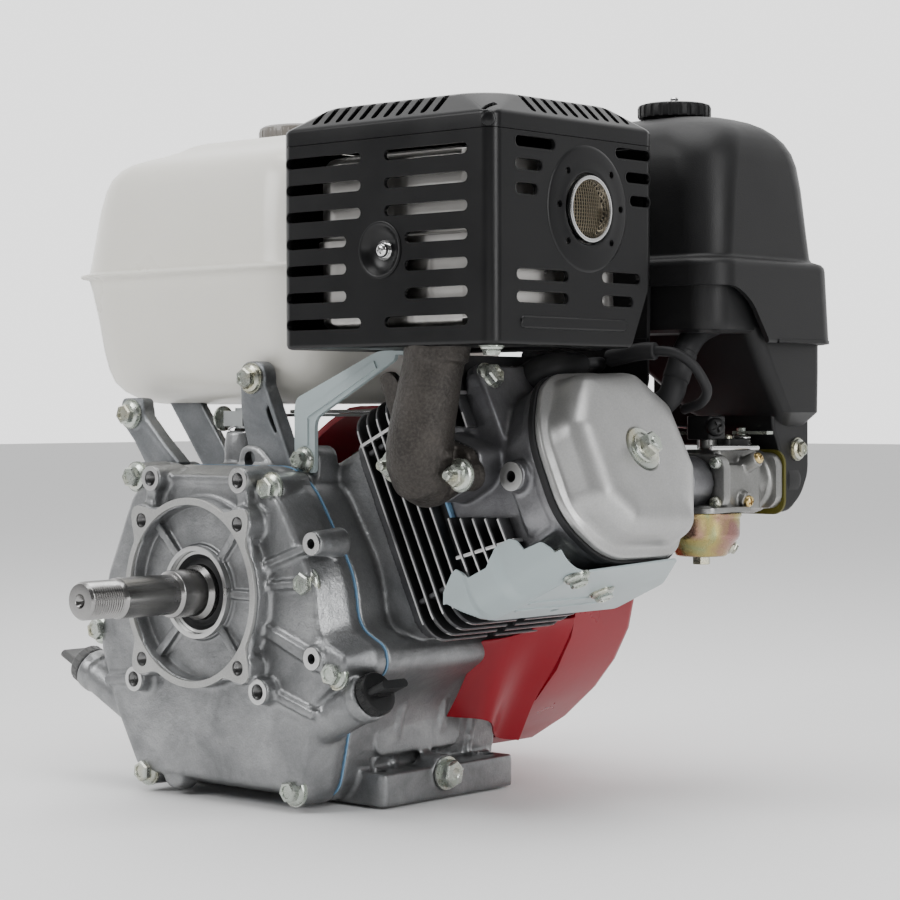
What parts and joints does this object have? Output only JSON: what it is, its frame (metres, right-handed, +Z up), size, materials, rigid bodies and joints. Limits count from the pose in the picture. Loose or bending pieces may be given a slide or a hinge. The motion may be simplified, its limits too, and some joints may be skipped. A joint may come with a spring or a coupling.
{
  "type": "small gasoline engine",
  "caption": "Air-cooled single-cylinder petrol engine with a horizontal output shaft, fuel tank, shielded muffler, air cleaner, carburettor and recoil starter.",
  "frame": {"origin": "centre of the four mounting bolt holes, on the base plane", "axes": "+X along the base towards the cylinder head, +Y from the output shaft to the recoil starter, +Z up"},
  "size_m": [0.4787, 0.41, 0.452],
  "materials": {
    "air_cleaner_case": "black moulded plastic",
    "air_cleaner_cover": "black moulded plastic",
    "air_cleaner_element": "pleated filter paper",
    "air_cleaner_knob": "black moulded plastic",
    "breather_tube": "matte rubber",
    "camshaft": "machined steel",
    "carburetor_body": "cast aluminium",
    "carburetor_gasket": "olive gasket sheet",
    "choke_valve": "brass",
    "connecting_rod": "cast aluminium",
    "control_lever": "black moulded plastic",
    "cooling_fan": "black moulded plastic",
    "crank_gear": "machined steel",
    "crankcase": "satin cast aluminium",
    "crankcase_cover": "satin cast aluminium",
    "crankcase_gasket": "thin pale blue gasket sheet",
    "crankshaft": "machined steel",
    "cylinder_head": "dark cast aluminium with machined fin edges",
    "drain_bolt": "yellow zinc plated steel",
    "engine_switch": "red plastic",
    "exhaust_manifold": "rough dark cast iron",
    "exhaust_pushrod": "machined steel",
    "exhaust_rocker": "machined steel",
    "exhaust_valve": "machined steel",
    "fan_housing": "gloss red paint",
    "float_bowl": "yellow zinc plated steel",
    "flywheel": "machined cast iron",
    "front_bearing": "machined steel",
    "fuel_cap": "grey-brown satin",
    "fuel_tank": "satin off-white paint",
    "fuel_valve_lever": "black moulded plastic",
    "governor_arm": "pale blue-grey paint",
    "gudgeon_pin": "machined steel",
    "ignition_coil": "black moulded plastic",
    "ignition_lead": "matte rubber",
    "intake_pushrod": "machined steel",
    "intake_rocker": "machined steel",
    "intake_valve": "machined steel",
    "lower_shroud": "pale blue-grey paint",
    "muffler": "bare pressed steel",
    "muffler_bracket": "pale blue-grey paint",
    "muffler_shield": "satin black paint",
    "muffler_shield_lid": "satin black paint",
    "oil_filler_cap_left": "black moulded plastic",
    "oil_filler_cap_right": "black moulded plastic",
    "oil_seal": "matte rubber",
    "piston": "machined aluminium",
    "rear_bearing": "machined steel",
    "recoil_housing": "gloss red paint",
    "rocker_cover": "satin silver pressed steel",
    "rocker_cover_bolt": "machined steel",
    "rocker_cover_gasket": "matte rubber",
    "rocker_guide_plate": "machined steel",
    "spark_arrester": "machined steel",
    "spark_plug": "white ceramic and steel",
    "spark_plug_cap": "matte rubber",
    "starter_cup": "machined steel",
    "starter_grip": "black moulded plastic",
    "starter_reel": "black moulded plastic",
    "throttle_valve": "brass"
  },
  "bodies": {
    "block": {"air_cleaner_case": "air_cleaner_case", "air_cleaner_element": "air_cleaner_element", "breather_tube": "breather_tube", "carburetor_body": "carburetor_body", "carburetor_gasket": "carburetor_gasket", "crankcase": "crankcase", "crankcase_cover": "crankcase_cover", "crankcase_gasket": "crankcase_gasket", "cylinder_head": "cylinder_head", "exhaust_manifold": "exhaust_manifold", "fan_housing": "fan_housing", "float_bowl": "float_bowl", "front_bearing": "front_bearing", "fuel_tank": "fuel_tank", "ignition_coil": "ignition_coil", "ignition_lead": "ignition_lead", "lower_shroud": "lower_shroud", "muffler": "muffler", "muffler_bracket": "muffler_bracket", "muffler_shield": "muffler_shield", "muffler_shield_lid": "muffler_shield_lid", "oil_seal": "oil_seal", "rear_bearing": "rear_bearing", "recoil_housing": "recoil_housing", "rocker_cover": "rocker_cover", "rocker_cover_bolt": "rocker_cover_bolt", "rocker_cover_gasket": "rocker_cover_gasket", "rocker_guide_plate": "rocker_guide_plate", "spark_arrester": "spark_arrester", "spark_plug": "spark_plug", "spark_plug_cap": "spark_plug_cap"},
    "crank": {"crankshaft": "crankshaft", "crank_gear": "crank_gear", "flywheel": "flywheel", "cooling_fan": "cooling_fan", "starter_cup": "starter_cup"},
    "cam": {"camshaft": "camshaft"},
    "piston": {"piston": "piston", "gudgeon_pin": "gudgeon_pin", "connecting_rod": "connecting_rod"},
    "exhaust_rocker": {"exhaust_rocker": "exhaust_rocker"},
    "intake_rocker": {"intake_rocker": "intake_rocker"},
    "exhaust_valve": {"exhaust_valve": "exhaust_valve"},
    "intake_valve": {"intake_valve": "intake_valve"},
    "exhaust_pushrod": {"exhaust_pushrod": "exhaust_pushrod"},
    "intake_pushrod": {"intake_pushrod": "intake_pushrod"},
    "governor": {"governor_arm": "governor_arm"},
    "throttle": {"throttle_valve": "throttle_valve"},
    "choke": {"choke_valve": "choke_valve"},
    "speed_lever": {"control_lever": "control_lever"},
    "fuel_lever": {"fuel_valve_lever": "fuel_valve_lever"},
    "stop_switch": {"engine_switch": "engine_switch"},
    "pull_grip": {"starter_grip": "starter_grip"},
    "reel": {"starter_reel": "starter_reel"},
    "tank_cap": {"fuel_cap": "fuel_cap"},
    "oil_cap_left": {"oil_filler_cap_left": "oil_filler_cap_left"},
    "oil_cap_right": {"oil_filler_cap_right": "oil_filler_cap_right"},
    "cleaner_cover": {"air_cleaner_cover": "air_cleaner_cover"},
    "cleaner_knob": {"air_cleaner_knob": "air_cleaner_knob"},
    "drain": {"drain_bolt": "drain_bolt"}
  },
  "joints": [
    {"name": "crank_spin", "type": "hinge", "parent": "block", "child": "crank", "pos_m": [0, -0.1225, 0.133], "axis": [0, 1, 0], "continuous": true},
    {"name": "cam_spin", "type": "hinge", "parent": "block", "child": "cam", "pos_m": [0.04318, -0.1225, 0.0759], "axis": [0, 1, 0], "continuous": true},
    {"name": "piston_stroke", "type": "slide", "parent": "block", "child": "piston", "axis": [0.9063, 0, 0.4226], "range_m": [-0.064, 0], "deforming": ["connecting_rod"]},
    {"name": "exhaust_rock", "type": "hinge", "parent": "block", "child": "exhaust_rocker", "pos_m": [0.2456, -0.0205, 0.2144], "axis": [0, 1, 0], "range_deg": [-11, 0]},
    {"name": "exhaust_lift", "type": "slide", "parent": "block", "child": "exhaust_valve", "axis": [0.9063, 0, 0.4226], "range_m": [-0.0064, 0]},
    {"name": "exhaust_push", "type": "slide", "parent": "block", "child": "exhaust_pushrod", "axis": [0.9063, 0, 0.4226], "range_m": [0, 0.009]},
    {"name": "intake_rock", "type": "hinge", "parent": "block", "child": "intake_rocker", "pos_m": [0.2456, 0.0175, 0.2144], "axis": [0, 1, 0], "range_deg": [-11, 0]},
    {"name": "intake_lift", "type": "slide", "parent": "block", "child": "intake_valve", "axis": [0.9063, 0, 0.4226], "range_m": [-0.0064, 0]},
    {"name": "intake_push", "type": "slide", "parent": "block", "child": "intake_pushrod", "axis": [0.9063, 0, 0.4226], "range_m": [0, 0.009]},
    {"name": "governor_swing", "type": "hinge", "parent": "block", "child": "governor", "pos_m": [-0.026, -0.0485, 0.24], "axis": [0, 0, 1], "range_deg": [-20, 8]},
    {"name": "throttle_turn", "type": "hinge", "parent": "block", "child": "throttle", "pos_m": [0.238, 0.1065, 0.202], "axis": [0, 0, 1], "range_deg": [-75, 30]},
    {"name": "choke_turn", "type": "hinge", "parent": "block", "child": "choke", "pos_m": [0.238, 0.1435, 0.202], "axis": [0, 0, 1], "range_deg": [-75, 0]},
    {"name": "speed_lever_swing", "type": "hinge", "parent": "block", "child": "speed_lever", "pos_m": [0.084, 0.1095, 0.257], "axis": [0, 0, 1], "range_deg": [-15, 25]},
    {"name": "fuel_lever_swing", "type": "hinge", "parent": "block", "child": "fuel_lever", "pos_m": [0.203, 0.1535, 0.194], "axis": [1, 0, 0], "range_deg": [0, 90]},
    {"name": "stop_switch_turn", "type": "hinge", "parent": "block", "child": "stop_switch", "pos_m": [0.128, 0.14, 0.16], "axis": [0, 1, 0], "range_deg": [0, 45]},
    {"name": "grip_pull", "type": "slide", "parent": "block", "child": "pull_grip", "axis": [-0.53, 0, 0.848], "range_m": [0, 0.25]},
    {"name": "reel_turn", "type": "hinge", "parent": "block", "child": "reel", "pos_m": [0, 0.1575, 0.133], "axis": [0, 1, 0], "range_deg": [-1, 310]},
    {"name": "tank_cap_lift", "type": "slide", "parent": "block", "child": "tank_cap", "axis": [0, 0, 1], "range_m": [0, 0.05]},
    {"name": "oil_cap_right_out", "type": "slide", "parent": "block", "child": "oil_cap_right", "axis": [0.9063, 0, 0.4226], "range_m": [0, 0.05]},
    {"name": "oil_cap_left_out", "type": "slide", "parent": "block", "child": "oil_cap_left", "axis": [-0.9063, 0, 0.4226], "range_m": [0, 0.09]},
    {"name": "cleaner_cover_lift", "type": "slide", "parent": "block", "child": "cleaner_cover", "axis": [0, 0, 1], "range_m": [0, 0.16]},
    {"name": "cleaner_knob_lift", "type": "slide", "parent": "cleaner_cover", "child": "cleaner_knob", "axis": [0, 0, 1], "range_m": [0, 0.03]},
    {"name": "drain_out", "type": "slide", "parent": "block", "child": "drain", "axis": [1, 0, 0], "range_m": [0, 0.03]}
  ],
  "couplings": [
    {"joint": "cam_spin", "follows": "crank_spin", "ratio": -0.5},
    {"joint": "exhaust_rock", "follows": "exhaust_lift", "rad_per_m": 29.85},
    {"joint": "exhaust_push", "follows": "exhaust_lift", "ratio": -1.1343},
    {"joint": "intake_rock", "follows": "intake_lift", "rad_per_m": 29.85},
    {"joint": "intake_push", "follows": "intake_lift", "ratio": -1.1343},
    {"joint": "throttle_turn", "follows": "governor_swing", "ratio": 3.5},
    {"joint": "reel_turn", "follows": "grip_pull", "rad_per_m": 21.277}
  ]
}
